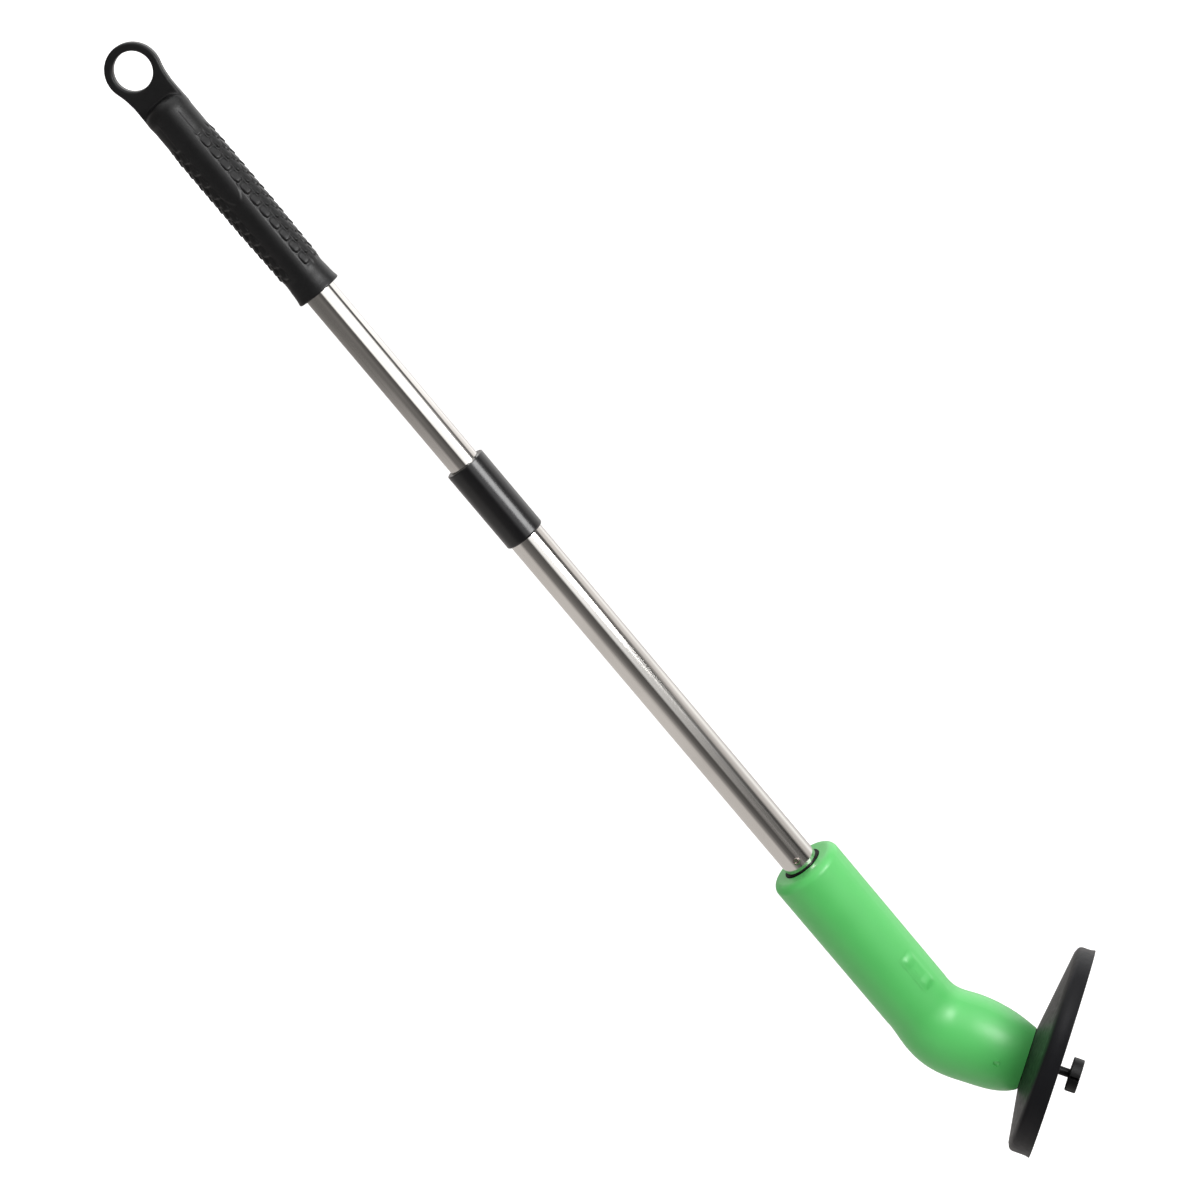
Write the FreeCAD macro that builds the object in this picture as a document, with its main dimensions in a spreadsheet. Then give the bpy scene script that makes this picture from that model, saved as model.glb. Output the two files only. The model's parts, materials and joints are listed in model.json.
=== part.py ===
"""Telescopic cordless grass trimmer: a grip, two stainless tubes with a twist-lock collar, an elbow-shaped
motor housing, a shallow guard and a hub that spins the cutting tie.

Frame: the origin is the centre of the hang hole in the grip, +Z runs up the pole from the motor head to the
grip, and the pole bends towards +X at the bottom, so XZ is the plane in which the pole bends and in which the
housing splits into its two half shells. Lengths are millimetres and angles are degrees.
"""
import FreeCAD, Part
import math
import os

import Sketcher
from FreeCAD import Placement, Rotation, Vector

FULL_TURN = 360
SIZES = [
    # hang ring and grip
    ("hole_rad", 11.2, "hang hole"),
    ("ring_rad", 16.1, "outside of the hang ring"),
    ("ring_thick", 7.5, "hang ring, along the hole"),
    ("neck_half", 12.4, "half width of the neck where it enters the grip"),
    ("neck_half_top", 11.2, "half width of the neck at the ring"),
    ("neck_thick", 15.0, "neck's thick foot, along the hole"),
    ("neck_top", 10.0, "depth of the neck's top"),
    ("neck_foot_top", 18.5, "depth of the thick foot's top"),
    ("neck_end", 32.4, "depth of the neck's end inside the grip"),
    ("grip_top", 27.0, "depth of the round grip's shoulder"),
    ("grip_rad", 13.7, "grip"),
    ("grip_taper", 108.0, "depth at which the grip starts to narrow"),
    ("grip_waist_rad", 12.8, "grip just above its lip"),
    ("grip_waist", 153.0, "depth of the waist"),
    ("grip_lip_rad", 13.9, "lip at the grip's lower end"),
    ("grip_lip", 3.0, "height of the lip"),
    ("grip_end", 159.0, "depth of the grip's lower end"),
    ("grip_bore_end", 48.0, "depth at which the tube stops inside the grip"),
    ("grip_twist", 24.4, "turn of the ring's plane from the bend's plane"),
    ("shoulder_round", 4.0, "rounding of the grip's shoulder"),
    # tubes
    ("inner_rad", 9.62, "upper tube"),
    ("outer_rad", 11.0, "lower tube"),
    ("tube_wall", 0.8, "both tubes"),
    ("inner_end", 490.0, "depth of the upper tube's lower end"),
    ("outer_top", 312.0, "depth of the lower tube's upper end"),
    ("outer_end", 648.0, "depth of the lower tube's lower end"),
    # bush at the upper tube's lower end
    ("plug_length", 20.0, "plug pressed into the upper tube"),
    ("flange_thick", 2.0, "plug's flange and end washer"),
    ("spigot_rad", 6.0, "spigot that the bush turns on"),
    ("bush_length", 20.0, "guide bush"),
    ("run_gap", 0.08, "radial clearance of a running fit"),
    ("end_gap", 0.15, "end clearance of a turning piece"),
    # twist-lock collar and its collet
    ("collar_top", 289.0, "depth of the collar's upper end"),
    ("collar_end", 344.7, "depth of the collar's lower end"),
    ("collar_rad", 12.7, "collar"),
    ("collar_lip", 3.0, "inturned lip at the collar's top"),
    ("collar_round", 1.3, "rounding of the collar's lower end"),
    ("collar_edge", 0.4, "edge break at the collar's top"),
    ("collet_gap", 0.1, "collet to upper tube, open"),
    ("skirt_end", 332.0, "depth of the collet's thin skirt"),
    ("slit_width", 1.6, "slits between the collet's fingers"),
    ("slit_end", 308.0, "depth at which the slits stop"),
    # housing
    ("mouth", 611.5, "depth of the housing's mouth"),
    ("mouth_rad", 12.8, "hole in the housing's mouth"),
    ("face_rad", 15.2, "start of the slope inside the shoulder"),
    ("mouth_round", 5.2, "rounding of the shoulder at the mouth"),
    ("face_thick", 4.0, "housing end wall"),
    ("shell_rad", 23.15, "straight part of the housing"),
    ("shell_wall", 2.2, "housing wall"),
    ("vertex", 754.0, "depth at which pole and motor axes cross"),
    ("bend", 40.0, "angle between pole and motor axes"),
    ("straight_stop", 27.0, "straight part stops this far before the crossing"),
    ("entry", 21.0, "second section, before the crossing"),
    ("elbow_rad", 26.5, "section on the bend's bisector"),
    ("elbow_shift", 3.2, "that section's centre, towards the inside"),
    ("belly", 22.6, "fullest section, past the crossing"),
    ("belly_rad", 27.1, "its radius"),
    ("belly_shift", 1.1, "its centre, towards the inside"),
    ("chest", 42.5, "next section"),
    ("chest_rad", 24.5, "its radius"),
    ("chest_shift", -0.4, "its centre"),
    ("throat", 51.0, "next section"),
    ("throat_rad", 21.6, "its radius"),
    ("throat_shift", -0.5, "its centre"),
    ("nose", 54.7, "end of the housing"),
    ("nose_rad", 19.8, "its radius"),
    ("nose_bore", 17.4, "opening at the housing's end"),
    # screws through the housing, driven from the +Y side
    ("screw_rad", 1.4, "shank of a housing screw"),
    ("screw_head", 2.8, "head of a housing screw"),
    ("screw_head_thick", 1.8, "its thickness"),
    ("boss_rad", 3.4, "boss round a screw"),
    ("boss_reach", 30.0, "bosses and drills reach past the shell"),
    ("screw_reach", 12.0, "half length of a screw"),
    ("upper_screws", 655.5, "depth of the screws below the socket"),
    ("upper_spread", 9.5, "their distance from the pole axis"),
    ("lower_screws", 727.0, "depth of the screws below the cells"),
    ("lower_spread", 9.0, "their distance from the pole axis"),
    ("head_screws", 32.0, "screws beside the motor, past the crossing"),
    ("head_outside", 18.0, "outer one, from the motor axis"),
    ("head_inside", 18.6, "inner one, from the motor axis"),
    # tube socket, seal and rivet
    ("seal_lip", 610.9, "depth of the top of the dark seal's lip, which stands in the mouth"),
    ("seal_lip_round", 0.5, "rounding of the lip"),
    ("seal_gap", 0.1, "gap between the lip and the mouth"),
    ("seal_top", 615.5, "depth of the seal's flange, behind the mouth's face"),
    ("seal_thick", 4.0, "the flange"),
    ("seal_rad", 15.0, "the flange"),
    ("socket_rad", 13.6, "socket round the tube"),
    ("socket_floor", 3.0, "floor and rib of the socket"),
    ("socket_rib", 626.0, "depth of the rib that centres the socket"),
    ("rivet_depth", 604.0, "depth of the rivet above the mouth"),
    ("rivet_turn", 27.0, "rivet's direction, from -Y towards +X"),
    ("rivet_rad", 1.5, "rivet's shank"),
    ("rivet_head", 2.4, "rivet's domed head"),
    ("rivet_crown", 0.45, "height of the dome"),
    # cells, their tray and door
    ("cell_rad", 7.1, "cell"),
    ("cell_length", 49.2, "cell without its nub"),
    ("cell_nub_rad", 2.7, "nub"),
    ("cell_nub", 1.0, "height of the nub"),
    ("cell_pitch", 7.4, "cell axis from the pole axis, both ways"),
    ("cell_top", 662.4, "depth of the cells' upper end"),
    ("tray_wall", 1.4, "end plates of the tray"),
    ("tray_rad", 20.9, "tray"),
    ("tray_inner", 19.0, "inside of the tray's back wall"),
    ("post_half", 3.4, "half width of the tray's post for the door screw"),
    ("post_inner", 15.2, "inner face of that post"),
    ("post_outer", 20.0, "outer face of that post"),
    ("post_top", 706.5, "depth of its top"),
    ("post_gap", 0.15, "gap round the door screw"),
    ("tray_arc", 110.0, "angle of the tray's back wall"),
    ("contact_thick", 0.4, "contact plates"),
    ("contact_half", 6.0, "half width of a contact plate"),
    ("door_half", 15.5, "half width of the battery door"),
    ("door_top", 661.0, "depth of the door's upper edge"),
    ("door_end", 716.0, "depth of the door's lower edge"),
    ("door_gap", 0.35, "gap round the door"),
    ("door_level", 8.0, "lowest Y of the door"),
    ("door_screw_depth", 711.0, "depth of the door's screw"),
    # power slider and switch
    ("controls_turn", 22.0, "slider's direction, from +X towards -Y; the battery door is a quarter turn on"),
    ("pad_top", 691.0, "depth of the slider's upper end, switched off"),
    ("pad_end", 719.5, "depth of the slider's lower end"),
    ("pad_gap", 0.3, "gap under the slider"),
    ("pad_thick", 0.8, "slider pad"),
    ("pad_half", 6.4, "half width of the pad"),
    ("rib_rise", 0.5, "ribs on the pad"),
    ("rib_width", 3.6, "ribs on the pad"),
    ("rib_first", 696.5, "depth of the upper rib"),
    ("rib_second", 714.0, "depth of the lower rib"),
    ("stem_half", 2.5, "half width of the slider's stem"),
    ("stem_top", 702.0, "depth of the stem's top"),
    ("stem_end", 708.0, "depth of the stem's end"),
    ("slider_travel", 4.0, "travel of the slider towards the motor"),
    ("slot_gap", 0.4, "gap round the stem"),
    ("switch_face", 20.0, "outer face of the switch, from the pole axis"),
    ("switch_deep", 4.8, "switch"),
    ("switch_half", 6.0, "half width of the switch"),
    ("switch_top", 691.0, "depth of the switch's top"),
    ("switch_end", 720.0, "depth of the switch's end"),
    # plug on the side of the motor housing
    ("plug_rad", 1.9, "round plug on the side"),
    ("plug_along", 38.1, "its distance past the crossing"),
    ("plug_across", 9.7, "its distance from the motor axis"),
    ("plug_inner", 20.4, "its inner end, from the bend's plane"),
    ("plug_outer", 23.3, "its outer end"),
    # motor, on the motor axis past the crossing
    ("can_rad", 13.85, "motor can"),
    ("can_wall", 1.0, "motor can"),
    ("can_back", 14.0, "can's open end"),
    ("can_front", 49.6, "can's closed end"),
    ("can_boss_rad", 4.9, "bearing boss"),
    ("can_boss_front", 52.6, "front of the boss"),
    ("shaft_rad", 1.15, "shaft"),
    ("bearing_gap", 0.05, "radial clearance in the bearings"),
    ("shaft_back", 11.4, "shaft's back end"),
    ("shaft_front", 72.0, "shaft's front end"),
    ("cap_back", 10.0, "plastic end cap"),
    ("cap_bore", 9.0, "hollow of the end cap round the commutator"),
    ("cap_floor", 12.5, "end cap's bearing wall ends"),
    ("magnet_inner", 11.0, "inside of the magnets"),
    ("magnet_back", 19.0, "magnets"),
    ("magnet_front", 46.0, "magnets"),
    ("magnet_arc", 140.0, "angle of one magnet"),
    ("armature_rad", 10.4, "armature"),
    ("armature_back", 22.0, "armature"),
    ("armature_front", 44.0, "armature"),
    ("commutator_rad", 4.0, "commutator"),
    ("commutator_back", 14.6, "commutator"),
    ("commutator_front", 20.5, "commutator"),
    ("mount_rad", 17.1, "motor mount plate"),
    ("mount_back", 49.8, "motor mount plate"),
    ("mount_front", 53.2, "motor mount plate"),
    ("mount_flange_rad", 18.6, "flange held inside the housing's neck"),
    ("mount_flange", 1.4, "flange"),
    ("motor_bolt_ring", 8.25, "motor screws from the axis"),
    ("motor_bolt_rad", 1.25, "motor screws"),
    ("motor_bolt_head", 2.3, "motor screws' heads"),
    ("motor_bolt_head_thick", 1.3, "motor screws' heads"),
    ("motor_bolt_tip", 47.8, "motor screws' tips"),
    # guard
    ("guard_seat", 55.1, "guard's back face, past the crossing"),
    ("guard_front", 74.1, "guard's open rim"),
    ("guard_rad", 66.5, "guard disc"),
    ("guard_shift", 13.5, "disc's centre from the motor axis, towards the operator"),
    ("guard_wall", 2.0, "guard"),
    ("guard_seat_rad", 20.0, "flat seat in the middle"),
    ("guard_reach", 84.0, "radius at which the cone is measured"),
    ("guard_cone_drop", 9.1, "fall of the cone from the seat to that radius"),
    ("guard_round", 3.2, "rounding of the rim's back edge"),
    ("guard_bore", 6.0, "guard's centre hole"),
    ("guard_bolt_ring", 13.0, "guard screws from the axis"),
    ("guard_bolt_rad", 1.5, "guard screws"),
    ("guard_bolt_head", 2.8, "guard screws' heads"),
    ("guard_bolt_head_thick", 1.8, "guard screws' heads"),
    ("guard_bolt_tip", 50.4, "guard screws' tips"),
    ("neck_seal_inner", 17.5, "dark ring between housing and guard"),
    ("neck_seal_outer", 19.4, "dark ring between housing and guard"),
    # hub
    ("stem_rad", 2.75, "hub stem"),
    ("stem_back", 60.0, "hub stem's back end"),
    ("hub_back", 81.9, "hub head's back face"),
    ("hub_front", 88.7, "hub head's front face"),
    ("hub_rad", 10.7, "hub head"),
    ("hub_edge", 0.5, "edge break on the hub head"),
    ("tie_width", 5.2, "slot for the cutting tie"),
    ("tie_thick", 1.8, "slot for the cutting tie"),
    ("tie_back", 82.7, "back of the slot"),
    ("tie_offset", 5.4, "slot from the motor axis"),
]
# the hollow rivet's head from its rim to its middle, as shares of the head's radius and crown
RIVET_HEAD = ((1.0, 0.0), (0.86, 0.7), (0.62, 1.0), (0.45, 0.75), (0.36, -0.5), (0.0, -0.5))
DRILL_WALLS = 3         # the rivet's hole is drilled from this many wall thicknesses in
SPARE = 40.0            # how far cutters reach past what they cut
REACH = 10.0            # how far a short cutter reaches past a surface
TOUCH = 0.05            # two lengths closer than this are the same edge
RIM_SAMPLES = 9         # points looked at along an edge
GUARD_BOLTS = 4
COLLET_SLITS = 4

doc = FreeCAD.newDocument("GrassTrimmer")
sheet = doc.addObject("Spreadsheet::Sheet", "Dims")


class Size:
    """A length or angle that knows its value and the sheet formula that it comes from."""

    def __init__(self, value, text):
        self.value = value
        self.text = text

    def joined(self, other, sign, value):
        return Size(value, "(%s %s %s)" % (self.text, sign, size(other).text))

    def __add__(self, other):
        return self.joined(other, "+", self.value + size(other).value)

    def __sub__(self, other):
        return self.joined(other, "-", self.value - size(other).value)

    def __mul__(self, other):
        return self.joined(other, "*", self.value * size(other).value)

    def __truediv__(self, other):
        return self.joined(other, "/", self.value / size(other).value)

    def __neg__(self):
        return Size(-self.value, "(0 - %s)" % self.text)


def size(number):
    """A plain number as a Size."""
    if isinstance(number, Size):
        return number
    return Size(float(number), repr(float(number)))


class Dimensions:
    """The sheet's cells, read as attributes."""

    def __init__(self, rows):
        for row, (name, value, note) in enumerate(rows, start=1):
            sheet.set("A%d" % row, note)
            sheet.set("B%d" % row, repr(value))
            sheet.setAlias("B%d" % row, name)
            setattr(self, name, Size(value, "Dims." + name))


d = Dimensions(SIZES)
doc.recompute()


# ---------------------------------------------------------------- places

def bind(thing, **sizes):
    """Bind properties to sizes. A double underscore stands for the dot of a sub-property."""
    for name, value in sizes.items():
        thing.setExpression(name.replace("__", "."), size(value).text)


def on_pole(thing, depth=0.0, turn=0.0):
    """Put a piece on the pole axis, its own +Z up the pole, turned about the axis."""
    thing.Placement = Placement(Vector(0, 0, 0), Rotation(Vector(0, 0, 1), size(turn).value))
    bind(thing, Placement__Base__z=-size(depth), Placement__Rotation__Angle=turn)


def on_motor(thing):
    """Put a piece on the motor axis: its own +Z leaves the crossing towards the hub, +X is the outer side."""
    thing.Placement = Placement(Vector(0, 0, -d.vertex.value), Rotation(Vector(0, 1, 0), 180 - d.bend.value))
    bind(thing, Placement__Base__z=-d.vertex, Placement__Rotation__Angle=size(180) - d.bend)


# ---------------------------------------------------------------- PartDesign pieces

def new_body(label):
    body = doc.addObject("PartDesign::Body", label)
    body.Label = label
    return body


def new_sketch(body, name, role):
    """A sketch on one of the body's own origin planes."""
    sketch = body.newObject("Sketcher::SketchObject", name)
    plane = [feature for feature in body.Origin.OriginFeatures if feature.Role == role][0]
    sketch.AttachmentSupport = [(plane, "")]
    sketch.MapMode = "FlatFace"
    return sketch


def hold(sketch, geometry, corner, across, up):
    """Fix one point of a sketch at two sizes from the sketch's origin."""
    for kind, axis, wanted in (("DistanceX", -2, across), ("DistanceY", -1, up)):
        wanted = size(wanted)
        if wanted.value == 0:
            sketch.addConstraint(Sketcher.Constraint("PointOnObject", geometry, corner, axis))
            continue
        index = sketch.addConstraint(
            Sketcher.Constraint(kind, -1, 1, geometry, corner, wanted.value))
        sketch.setExpression("Constraints[%d]" % index, wanted.text)


def polygon(sketch, corners):
    """A closed outline of straight lines through the given corners."""
    points = [Vector(size(x).value, size(y).value, 0) for x, y in corners]
    first = sketch.GeometryCount
    count = len(points)
    for i in range(count):
        sketch.addGeometry(Part.LineSegment(points[i], points[(i + 1) % count]), False)
    for i in range(count):
        following = first + (i + 1) % count
        sketch.addConstraint(Sketcher.Constraint("Coincident", first + i, 2, following, 1))
    for i, (across, up) in enumerate(corners):
        hold(sketch, first + i, 1, across, up)


def circle(sketch, radius, across=0.0, up=0.0):
    """A circle of a given radius and centre."""
    centre = Vector(size(across).value, size(up).value, 0)
    index = sketch.addGeometry(Part.Circle(centre, Vector(0, 0, 1), radius.value), False)
    hold(sketch, index, 3, across, up)
    fixed = sketch.addConstraint(Sketcher.Constraint("Radius", index, radius.value))
    sketch.setExpression("Constraints[%d]" % fixed, radius.text)


def turned(body, name, corners, angle=FULL_TURN):
    """Revolve an outline of (radius, height) corners about the body's own Z axis."""
    sketch = new_sketch(body, name + "_outline", "XZ_Plane")
    polygon(sketch, corners)
    turn = body.newObject("PartDesign::Revolution", name)
    turn.Profile = sketch
    turn.ReferenceAxis = (sketch, ["V_Axis"])
    turn.Midplane = True
    bind(turn, Angle=angle)
    return turn


def ring(label, outside, inside, low, high, angle=FULL_TURN):
    """A body that is one plain ring between two heights on its own Z axis."""
    body = new_body(label)
    turned(body, label + "_turn", [(inside, low), (outside, low), (outside, high), (inside, high)], angle)
    return body


def rod(label, radius, low, high):
    """A body that is one plain round rod."""
    return ring(label, radius, 0.0, low, high)


def padded(body, name, draw, length, role, middle=True):
    """Pad a sketch that a function draws."""
    sketch = new_sketch(body, name + "_outline", role)
    draw(sketch)
    pad = body.newObject("PartDesign::Pad", name)
    pad.Profile = sketch
    pad.Midplane = middle
    bind(pad, Length=length)
    return pad


def pocketed(body, name, draw, length, role):
    """Cut a sketch that a function draws, both ways from its plane."""
    sketch = new_sketch(body, name + "_outline", role)
    draw(sketch)
    cut = body.newObject("PartDesign::Pocket", name)
    cut.Profile = sketch
    cut.Midplane = True
    bind(cut, Length=length)
    return cut


def circles_at(shape, radius, height):
    """Names of the circular edges of one radius at one height of the body."""
    names = []
    for index, edge in enumerate(shape.Edges, start=1):
        curve = edge.Curve
        if not isinstance(curve, Part.Circle):
            continue
        same_radius = abs(curve.Radius - size(radius).value) < TOUCH
        if same_radius and abs(curve.Center.z - size(height).value) < TOUCH:
            names.append("Edge%d" % index)
    return names


def dressed(body, kind, name, radius, height, **sizes):
    """Fillet or chamfer the circular edges of one radius at one height."""
    doc.recompute()
    base = body.Tip
    feature = body.newObject("PartDesign::" + kind, name)
    feature.Base = (base, circles_at(base.Shape, radius, height))
    bind(feature, **sizes)
    return feature


# ---------------------------------------------------------------- Part pieces

def swung(x, y, turned_by):
    """A point of the pole's cross-section, turned clockwise about the pole axis."""
    angle = math.radians(size(turned_by).value)
    across = size(x) * math.cos(angle) + size(y) * math.sin(angle)
    along = size(y) * math.cos(angle) - size(x) * math.sin(angle)
    return across, along


def box(name, low, high, turned_by=0.0):
    """A box between two corners of the frame, then turned clockwise about the pole axis."""
    item = doc.addObject("Part::Box", name)
    item.Placement = Placement(Vector(0, 0, 0), Rotation(Vector(0, 0, 1), -size(turned_by).value))
    x, y = swung(low[0], low[1], turned_by)
    bind(item, Length=size(high[0]) - low[0], Width=size(high[1]) - low[1], Height=size(high[2]) - low[2],
         Placement__Base__x=x, Placement__Base__y=y, Placement__Base__z=low[2])
    return item


def boolean(label, base, tool, kind):
    item = doc.addObject("Part::" + kind, label)
    item.Base = base
    item.Tool = tool
    item.Label = label
    return item


def cut(label, base, tool):
    return boolean(label, base, tool, "Cut")


def common(label, base, tool):
    return boolean(label, base, tool, "Common")


def fused(label, pieces):
    item = doc.addObject("Part::MultiFuse", label)
    item.Shapes = pieces
    item.Label = label
    return item


def group(label, pieces):
    """Separate solids kept together in one node."""
    item = doc.addObject("Part::Compound", label)
    item.Links = pieces
    item.Label = label
    return item


# ---------------------------------------------------------------- upper part: grip, tube, bush

def make_grip():
    """Round grip with a flat hang ring on its top, bored for the upper tube."""
    grip = new_body("grip")
    turned(grip, "handle", [
        (0.0, -d.grip_top),
        (d.grip_rad, -d.grip_top),
        (d.grip_rad, -d.grip_taper),
        (d.grip_waist_rad, -d.grip_waist),
        (d.grip_lip_rad, d.grip_lip - d.grip_end),
        (d.grip_lip_rad, -d.grip_end),
        (0.0, -d.grip_end),
    ])
    dressed(grip, "Fillet", "shoulder", d.grip_rad, -d.grip_top, Radius=d.shoulder_round)
    padded(grip, "hang_ring", lambda s: circle(s, d.ring_rad), d.ring_thick, "XZ_Plane")
    padded(grip, "web", lambda s: polygon(s, [
        (-d.neck_half, -d.neck_end),
        (d.neck_half, -d.neck_end),
        (d.neck_half_top, -d.neck_top),
        (-d.neck_half_top, -d.neck_top),
    ]), d.ring_thick, "XZ_Plane")
    padded(grip, "neck", lambda s: polygon(s, [
        (-d.neck_half, -d.neck_end),
        (d.neck_half, -d.neck_end),
        (d.neck_half_top, -d.neck_foot_top),
        (-d.neck_half_top, -d.neck_foot_top),
    ]), d.neck_thick, "XZ_Plane")
    pocketed(grip, "hang_hole", lambda s: circle(s, d.hole_rad), d.neck_thick * 2, "XZ_Plane")
    bore = new_sketch(grip, "tube_bore_outline", "XY_Plane")
    circle(bore, d.inner_rad)
    hole = grip.newObject("PartDesign::Pocket", "tube_bore")
    hole.Profile = bore
    bore.AttachmentOffset = Placement(Vector(0, 0, -d.grip_bore_end.value), Rotation())
    bind(bore, AttachmentOffset__Base__z=-d.grip_bore_end)
    bind(hole, Length=d.grip_end)
    on_pole(grip, turn=d.grip_twist)


def make_upper_tube():
    tube = ring("upper_tube", d.inner_rad, d.inner_rad - d.tube_wall, -d.inner_end, -d.grip_bore_end)
    on_pole(tube)


def make_bush():
    """Plug in the tube's end with a spigot and washer, and the nylon bush that turns on the spigot."""
    carrier = new_body("bush_carrier")
    flange_end = -d.inner_end - d.flange_thick
    spigot_end = flange_end - d.bush_length
    turned(carrier, "plug", [
        (0.0, d.plug_length - d.inner_end),
        (d.inner_rad - d.tube_wall, d.plug_length - d.inner_end),
        (d.inner_rad - d.tube_wall, -d.inner_end),
        (d.inner_rad, -d.inner_end),
        (d.inner_rad, flange_end),
        (d.spigot_rad, flange_end),
        (d.spigot_rad, spigot_end),
        (d.inner_rad, spigot_end),
        (d.inner_rad, spigot_end - d.flange_thick),
        (0.0, spigot_end - d.flange_thick),
    ])
    bush = ring("guide_bush", d.outer_rad - d.tube_wall - d.run_gap, d.spigot_rad + d.run_gap,
                spigot_end + d.end_gap, flange_end - d.end_gap)
    return carrier, bush


# ---------------------------------------------------------------- collar and lower tube

def make_collet():
    """Sleeve on the lower tube's end: split fingers above, a thin skirt pressed inside the tube."""
    inside = d.inner_rad + d.collet_gap
    collet = new_body("collet")
    turned(collet, "sleeve", [
        (inside, -d.skirt_end),
        (d.outer_rad - d.tube_wall, -d.skirt_end),
        (d.outer_rad - d.tube_wall, -d.outer_top),
        (d.outer_rad, -d.outer_top),
        (d.outer_rad, -d.collar_top - d.collar_lip - d.end_gap),
        (inside, -d.collar_top - d.collar_lip - d.end_gap),
    ])
    sketch = new_sketch(collet, "slit_outline", "XZ_Plane")
    polygon(sketch, [
        (-d.slit_width / 2, -d.slit_end),
        (d.slit_width / 2, -d.slit_end),
        (d.slit_width / 2, -d.collar_top),
        (-d.slit_width / 2, -d.collar_top),
    ])
    slit = collet.newObject("PartDesign::Pocket", "slit")
    slit.Profile = sketch
    bind(slit, Length=d.outer_rad * 2)
    doc.recompute()
    around = collet.newObject("PartDesign::PolarPattern", "slits")
    around.Originals = [slit]
    around.Axis = (sketch, ["V_Axis"])
    around.Angle = FULL_TURN
    around.Occurrences = COLLET_SLITS
    collet.Tip = around


def make_collar():
    collar = new_body("lock_collar")
    bore = d.outer_rad + d.run_gap
    turned(collar, "sleeve", [
        (bore, -d.collar_end),
        (d.collar_rad, -d.collar_end),
        (d.collar_rad, -d.collar_top),
        (d.inner_rad + d.end_gap, -d.collar_top),
        (d.inner_rad + d.end_gap, -d.collar_top - d.collar_lip),
        (bore, -d.collar_top - d.collar_lip),
    ])
    dressed(collar, "Fillet", "lower_round", d.collar_rad, -d.collar_end,
            Radius=d.collar_round)
    dressed(collar, "Chamfer", "upper_break", d.collar_rad, -d.collar_top, Size=d.collar_edge)


def make_lower_tube():
    """The lower tube with its rivet hole, and the rivet."""
    plain = ring("lower_tube_plain", d.outer_rad, d.outer_rad - d.tube_wall, -d.outer_end, -d.outer_top)

    def across_tube(label, corners):
        """Turn a piece about its own Z axis, then lay that axis along the rivet's direction."""
        piece = new_body(label)
        turned(piece, label + "_turn", corners)
        piece.Placement = Placement(
            Vector(0, 0, -d.rivet_depth.value),
            Rotation(Vector(0, 0, 1), d.rivet_turn.value) * Rotation(Vector(1, 0, 0), 90))
        bind(piece, Placement__Base__z=-d.rivet_depth)
        return piece

    drill = across_tube("rivet_drill", [
        (0.0, d.outer_rad - d.tube_wall * DRILL_WALLS),
        (d.rivet_rad, d.outer_rad - d.tube_wall * DRILL_WALLS),
        (d.rivet_rad, d.outer_rad + d.tube_wall),
        (0.0, d.outer_rad + d.tube_wall),
    ])
    across_tube("tube_rivet", [
        (0.0, d.outer_rad - d.tube_wall),
        (d.rivet_rad, d.outer_rad - d.tube_wall),
        (d.rivet_rad, d.outer_rad),
    ] + [(d.rivet_head * out, d.outer_rad + d.rivet_crown * up) for out, up in RIVET_HEAD])
    cut("lower_tube", plain, drill)


# ---------------------------------------------------------------- housing

def elbow_sections(inset):
    """The elbow's round sections: centre X, centre Z, tilt and radius, from the pole to the motor."""
    bend = math.radians(d.bend.value)
    towards_motor = (size(math.sin(bend)), size(-math.cos(bend)))
    inwards = (size(math.cos(bend)), size(math.sin(bend)))
    halfway = (size(math.cos(bend / 2)), size(math.sin(bend / 2)))
    sections = [
        (size(0.0), d.straight_stop - d.vertex, size(0.0), d.shell_rad - inset),
        (size(0.0), d.entry - d.vertex, size(0.0), d.shell_rad - inset),
        (d.elbow_shift * halfway[0], d.elbow_shift * halfway[1] - d.vertex, -d.bend / 2, d.elbow_rad - inset),
    ]
    for along, shift, radius in (
            (d.belly, d.belly_shift, d.belly_rad - inset),
            (d.chest, d.chest_shift, d.chest_rad - inset),
            (d.throat, d.throat_shift, d.throat_rad - inset),
            (d.nose, size(0.0), d.nose_rad - inset)):
        sections.append((
            along * towards_motor[0] + shift * inwards[0],
            along * towards_motor[1] + shift * inwards[1] - d.vertex,
            -d.bend,
            radius))
    return sections


def elbow(label, inset, straight, rounding=None):
    """A straight round length, given as a turned outline, and the lofted bend below it."""
    body = new_body(label)
    turned(body, label + "_straight", straight)
    if rounding is not None:
        dressed(body, "Fillet", label + "_shoulder", d.shell_rad, -d.mouth, Radius=rounding)
    rings = []
    for number, (across, up, tilt, radius) in enumerate(elbow_sections(inset)):
        sketch = new_sketch(body, "%s_section_%d" % (label, number), "XY_Plane")
        circle(sketch, radius)
        sketch.AttachmentOffset = Placement(
            Vector(across.value, 0, up.value), Rotation(Vector(0, 1, 0), tilt.value))
        bind(sketch, AttachmentOffset__Base__x=across, AttachmentOffset__Base__z=up)
        rings.append(sketch)
    loft = body.newObject("PartDesign::AdditiveLoft", label + "_bend")
    loft.Profile = rings[0]
    loft.Sections = rings[1:]
    loft.Ruled = False
    return body


def screw_places():
    """Where the housing screws stand in the bend's plane, as X and Z."""
    bend = math.radians(d.bend.value)
    places = []
    for depth, spread in ((d.upper_screws, d.upper_spread), (d.lower_screws, d.lower_spread)):
        places += [(-spread, -depth), (spread, -depth)]
    for side in (-d.head_outside, d.head_inside):
        places.append((
            d.head_screws * math.sin(bend) + side * math.cos(bend),
            d.head_screws * -math.cos(bend) + side * math.sin(bend) - d.vertex))
    return places


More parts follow.
